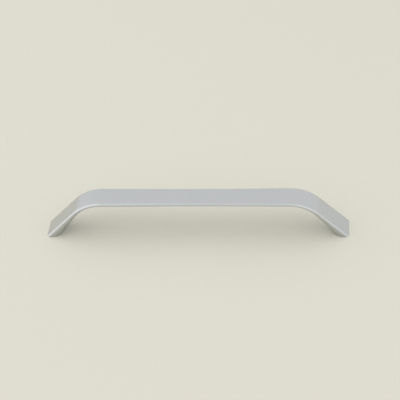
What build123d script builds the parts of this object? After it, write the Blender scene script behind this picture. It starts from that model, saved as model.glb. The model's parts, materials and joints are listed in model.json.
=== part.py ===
from build123d import *
import math
import os

# A bridge pull handle, cast in one piece: a flat strap that turns down into a leg at each end.
# Frame: X along the handle, Y across it, Z up from the plane of the two feet, origin midway
# between the fixing holes. All sizes in millimetres.

# Overall form
hole_spacing = 192.0  # between the axes of the two fixing holes
projection = 28.0  # from the plane of the feet to the outer face of the bar
leg_angle = 45.0  # between the outer face of a leg and the plane of the feet, degrees
bend_radius = 28.0  # outer face, where the bar turns into a leg

# Cross-section
waist_width = 17.8  # bar at mid length
leg_width = 19.0  # both legs, from the end of the bend down
bar_thickness = 3.0
foot_length = 11.4  # base of a foot along X, from its tip to its rounded inner side
bar_edge_radius = 1.4  # long edges of the outer face, on the bar
foot_edge_radius = 1.7  # the same edges at the tips

# Fixing holes, tapped M4 and left at the thread's major diameter
thread_radius = 2.0
thread_cover = 0.9  # metal left between the end of the thread and the outer face
hole_wall = 1.9  # metal left between a hole and the inner side of its foot, at the base
lead_in = 0.3  # chamfer at the hole's mouth
drill_point_angle = 118.0

# Cross-sections through each stretch, from one end to the other
bar_sections = 7
bend_sections = 9
leg_sections = 5
overrun = 2.0  # the legs run this far past the base plane before it trims them

# From a hole's axis to the tip of its foot, and lengths along the outer face from mid length
angle = math.radians(leg_angle)
hole_inset = foot_length - hole_wall - thread_radius
half_length = hole_spacing / 2 + hole_inset
bend_tangent = bend_radius * math.tan(angle / 2)
bend_start = half_length - projection / math.tan(angle) - bend_tangent
bend_end = bend_start + bend_radius * angle
tip = bend_end + projection / math.sin(angle) - bend_tangent

# The depth of the section grows with the square of the distance past the bend's start. It is
# set where the inner side of the leg meets the base plane.
base_run = tip - foot_length * math.cos(angle)
base_depth = foot_length * math.sin(angle)
depth_growth = (base_depth - bar_thickness) / (base_run - bend_start) ** 2


def outer_face(run):
    """Point on the outer face's centre line, and the angle that the face has turned down."""
    if run < bend_start:
        return run, projection, 0.0
    turned = min((run - bend_start) / bend_radius, angle)
    x = bend_start + bend_radius * math.sin(turned)
    z = projection - bend_radius * (1 - math.cos(turned))
    straight = max(run - bend_end, 0.0)
    return x + straight * math.cos(angle), z - straight * math.sin(angle), turned


def section(run):
    """Cross-section square to the outer face: flat outside, rounded edges, half-ellipse inside."""
    x, z, turned = outer_face(run)
    past_bend = max(run - bend_start, 0.0)
    widening = (1 - math.cos(math.pi * min(abs(run) / bend_end, 1.0))) / 2
    half_width = (waist_width + (leg_width - waist_width) * widening) / 2
    depth = bar_thickness + depth_growth * past_bend**2
    rounding = (foot_edge_radius - bar_edge_radius) * past_bend / (tip - bend_start)
    radius = bar_edge_radius + rounding
    flat = half_width - radius

    outside = Line((-flat, 0), (flat, 0))
    far_edge = CenterArc((flat, -radius), radius, 90, -90)
    inside = EllipticalCenterArc((0, -radius), half_width, depth - radius, 180, arc_size=180)
    near_edge = CenterArc((-flat, -radius), radius, 180, -90)
    outline = make_face([outside, far_edge, inside, near_edge])
    along = (math.cos(turned), 0, -math.sin(turned))
    return Plane(origin=(x, 0, z), x_dir=(0, 1, 0), z_dir=along) * outline


def stretch(start, end, count):
    """The strap between two distances from mid length, lofted through evenly spaced sections."""
    spacing = (end - start) / (count - 1)
    return loft([section(start + spacing * i) for i in range(count)])


def fixing_hole():
    """Blind hole from the base plane up, with a lead-in chamfer and a drill point."""
    face_height = (hole_inset - thread_radius) * math.tan(angle)
    depth = face_height - thread_cover / math.cos(angle)
    point = thread_radius / math.tan(math.radians(drill_point_angle / 2))
    outline = Polyline(
        (0, 0),
        (thread_radius + lead_in, 0),
        (thread_radius, lead_in),
        (thread_radius, depth),
        (0, depth + point),
        close=True,
    )
    return revolve(Plane.XZ * make_face(outline), Axis.Z)


def handle():
    bar = stretch(-bend_start, bend_start, bar_sections)
    bend = stretch(bend_start, bend_end, bend_sections)
    leg = stretch(bend_end, tip + overrun, leg_sections)
    leg = split(leg, bisect_by=Plane.XY, keep=Keep.TOP) - Pos(hole_spacing / 2, 0, 0) * fixing_hole()
    end = bend + leg
    return bar + end + mirror(end, about=Plane.YZ)


os.makedirs("parts", exist_ok=True)
export_step(handle(), "parts/handle.step")
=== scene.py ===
import json
import math

import bmesh
import bpy
from mathutils import Matrix, Vector


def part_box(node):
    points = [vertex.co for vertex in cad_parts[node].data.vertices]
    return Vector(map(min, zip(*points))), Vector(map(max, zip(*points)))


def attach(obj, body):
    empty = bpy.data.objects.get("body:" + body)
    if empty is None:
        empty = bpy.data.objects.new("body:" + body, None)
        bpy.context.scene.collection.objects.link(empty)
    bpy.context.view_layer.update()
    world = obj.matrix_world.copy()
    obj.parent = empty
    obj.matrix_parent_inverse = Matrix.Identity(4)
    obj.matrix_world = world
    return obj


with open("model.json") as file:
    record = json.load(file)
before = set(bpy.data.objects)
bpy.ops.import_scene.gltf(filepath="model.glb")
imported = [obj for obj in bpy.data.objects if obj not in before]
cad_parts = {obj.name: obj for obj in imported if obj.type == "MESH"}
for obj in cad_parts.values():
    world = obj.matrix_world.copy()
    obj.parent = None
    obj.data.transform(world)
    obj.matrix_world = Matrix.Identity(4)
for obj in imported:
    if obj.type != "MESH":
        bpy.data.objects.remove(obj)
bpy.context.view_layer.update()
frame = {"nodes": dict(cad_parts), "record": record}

# The handle's own sizes, in metres
low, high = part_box("handle")
length = high.x - low.x
base = Vector(((low.x + high.x) / 2, (low.y + high.y) / 2, low.z))
holes = next(m for m in frame["record"]["mounts"] if m["name"] == "fixing_holes")
hole_x = holes["dims"]["spacing_x_mm"] / 2000
thread_radius = holes["dims"]["hole_r_mm"] / 1000

# Thread in the fixing holes: metric coarse, M4
pitch = 0.0007
thread_start = 0.0003
thread_end = 0.0040

# The ridge that winds up each hole, in the proportions of a metric thread
root_half_width = pitch * 7 / 16
crest_half_width = pitch / 8
ridge_height = 0.541 * pitch
root_radius = thread_radius * 1.004
steps_per_turn = 48
run_out_steps = steps_per_turn / 2
least_fade = 0.02


def node_tree(name):
    """A new material, its node tree and its shader, which is linked to the output."""
    material = bpy.data.materials.new(name)
    material.use_nodes = True
    tree = material.node_tree
    tree.nodes.clear()
    output = tree.nodes.new("ShaderNodeOutputMaterial")
    shader = tree.nodes.new("ShaderNodeBsdfPrincipled")
    tree.links.new(shader.outputs["BSDF"], output.inputs["Surface"])
    return material, tree, shader


def noise(tree, vector, scale, detail):
    node = tree.nodes.new("ShaderNodeTexNoise")
    node.inputs["Scale"].default_value = scale
    node.inputs["Detail"].default_value = detail
    tree.links.new(vector, node.inputs["Vector"])
    return node.outputs["Fac"]


def spread(tree, value, low_value, high_value):
    """Noise, which lies mostly between 0.3 and 0.7, spread over low_value to high_value."""
    node = tree.nodes.new("ShaderNodeMapRange")
    node.inputs["From Min"].default_value = 0.3
    node.inputs["From Max"].default_value = 0.7
    node.inputs["To Min"].default_value = low_value
    node.inputs["To Max"].default_value = high_value
    tree.links.new(value, node.inputs["Value"])
    return node.outputs["Result"]


def satin_chrome():
    """Chrome plate over a blasted casting: fine even grain, slightly uneven sheen."""
    material, tree, shader = node_tree("satin_chrome")
    shader.inputs["Metallic"].default_value = 1.0
    place = tree.nodes.new("ShaderNodeTexCoord").outputs["Object"]
    sheen = noise(tree, place, scale=60, detail=3)
    tree.links.new(spread(tree, sheen, 0.24, 0.30), shader.inputs["Roughness"])
    tint = tree.nodes.new("ShaderNodeMix")
    tint.data_type = "RGBA"
    tint.inputs["A"].default_value = (0.550, 0.565, 0.569, 1)
    tint.inputs["B"].default_value = (0.569, 0.583, 0.588, 1)
    tree.links.new(noise(tree, place, scale=25, detail=2), tint.inputs["Factor"])
    tree.links.new(tint.outputs["Result"], shader.inputs["Base Color"])
    grain = tree.nodes.new("ShaderNodeBump")
    grain.inputs["Strength"].default_value = 0.008
    grain.inputs["Distance"].default_value = 0.00002
    tree.links.new(noise(tree, place, scale=9000, detail=2), grain.inputs["Height"])
    tree.links.new(grain.outputs["Normal"], shader.inputs["Normal"])
    return material


def cut_metal():
    """Bare cast metal where the tap has cut the thread."""
    material, tree, shader = node_tree("cut_metal")
    shader.inputs["Metallic"].default_value = 1.0
    place = tree.nodes.new("ShaderNodeTexCoord").outputs["Object"]
    marks = noise(tree, place, scale=4000, detail=2)
    tree.links.new(spread(tree, marks, 0.30, 0.45), shader.inputs["Roughness"])
    shader.inputs["Base Color"].default_value = (0.50, 0.51, 0.53, 1)
    return material


def ridge_section(mesh, x, step, step_count):
    """One cross-section of the ridge. It fades out over half a turn at both ends."""
    angle = 2 * math.pi * step / steps_per_turn
    climb = thread_end - thread_start - 2 * root_half_width
    z = thread_start + root_half_width + climb * step / step_count
    fade = min(1.0, step / run_out_steps, (step_count - step) / run_out_steps)
    crest_radius = root_radius - ridge_height * max(fade, least_fade)
    corners = (
        (root_radius, -root_half_width),
        (crest_radius, -crest_half_width),
        (crest_radius, crest_half_width),
        (root_radius, root_half_width),
    )
    section = []
    for radius, dz in corners:
        point = (x + radius * math.cos(angle), base.y + radius * math.sin(angle), z + dz)
        section.append(mesh.verts.new(point))
    return section


def ridge(x):
    """A closed mesh of the ridge that winds up the wall of the hole at x."""
    turns = (thread_end - thread_start) / pitch
    step_count = int(turns * steps_per_turn)
    mesh = bmesh.new()
    sections = [ridge_section(mesh, x, step, step_count) for step in range(step_count + 1)]
    for one, two in zip(sections, sections[1:]):
        for j in range(len(one)):
            k = (j + 1) % len(one)
            mesh.faces.new((one[j], one[k], two[k], two[j]))
    mesh.faces.new(sections[0][::-1])
    mesh.faces.new(sections[-1])
    bmesh.ops.recalc_face_normals(mesh, faces=mesh.faces)
    return mesh


def thread(name, x, material):
    """The turns of the internal thread in the hole at x."""
    mesh = ridge(x)
    data = bpy.data.meshes.new(name)
    mesh.to_mesh(data)
    mesh.free()
    data.materials.append(material)
    piece = bpy.data.objects.new(name, data)
    bpy.context.scene.collection.objects.link(piece)
    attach(piece, "root")


def floor():
    """A plain pale floor that the handle stands on."""
    material, tree, shader = node_tree("floor")
    shader.inputs["Base Color"].default_value = (0.68, 0.666, 0.578, 1)
    shader.inputs["Roughness"].default_value = 0.9
    shader.inputs["Specular IOR Level"].default_value = 0.1
    bpy.ops.mesh.primitive_plane_add(size=6, location=base)
    plane = bpy.context.object
    plane.name = "floor"
    plane.data.materials.append(material)


def softbox(name, azimuth, elevation, distance, width, glow):
    """A square area lamp that faces the handle. Azimuth turns from behind it towards +X.

    glow is its brightness, in the same measure as the strength of the surround.
    """
    around, up = math.radians(azimuth), math.radians(elevation)
    level = math.cos(up)
    towards = Vector((math.sin(around) * level, math.cos(around) * level, math.sin(up)))
    lamp = bpy.data.lights.new(name, "AREA")
    lamp.size = width
    lamp.energy = glow * math.pi * width**2
    light = bpy.data.objects.new(name, lamp)
    light.location = base + towards * distance
    light.rotation_mode = "QUATERNION"
    light.rotation_quaternion = towards.to_track_quat("Z", "Y")
    bpy.context.scene.collection.objects.link(light)


def studio():
    """An even white surround, with a large soft box on each side."""
    world = bpy.data.worlds.new("studio")
    bpy.context.scene.world = world
    world.use_nodes = True
    background = world.node_tree.nodes["Background"]
    background.inputs["Color"].default_value = (1.0, 1.0, 1.0, 1)
    background.inputs["Strength"].default_value = 0.90
    softbox("left_box", azimuth=-90, elevation=38, distance=1.2, width=2.0, glow=0.40)
    softbox("right_box", azimuth=125, elevation=45, distance=1.2, width=1.6, glow=0.27)


def camera():
    """A long lens from the front and above, a little to the right, tilted a few degrees."""
    azimuth, elevation, roll = (math.radians(a) for a in (7.97, 37.86, -5.05))
    aim = base + Vector((-0.005, 0.1525, 0)) * length
    distance = 5.269 * length
    level = math.cos(elevation)
    back = Vector((math.sin(azimuth) * level, -math.cos(azimuth) * level, math.sin(elevation)))
    right = Matrix.Rotation(roll, 3, back) @ Vector((math.cos(azimuth), math.sin(azimuth), 0))
    up = back.cross(right)
    facing = Matrix((right, up, back)).transposed().to_4x4()
    data = bpy.data.cameras.new("camera")
    data.lens = 139.9
    data.sensor_width = 36
    data.clip_start = 0.01
    eye = bpy.data.objects.new("camera", data)
    eye.matrix_world = Matrix.Translation(aim + back * distance) @ facing
    bpy.context.scene.collection.objects.link(eye)
    bpy.context.scene.camera = eye


handle = frame["nodes"]["handle"]
handle.data.materials[0] = satin_chrome()
bare = cut_metal()
thread("thread_left", base.x - hole_x, bare)
thread("thread_right", base.x + hole_x, bare)
floor()
studio()
camera()
bpy.context.scene.view_settings.view_transform = "Standard"
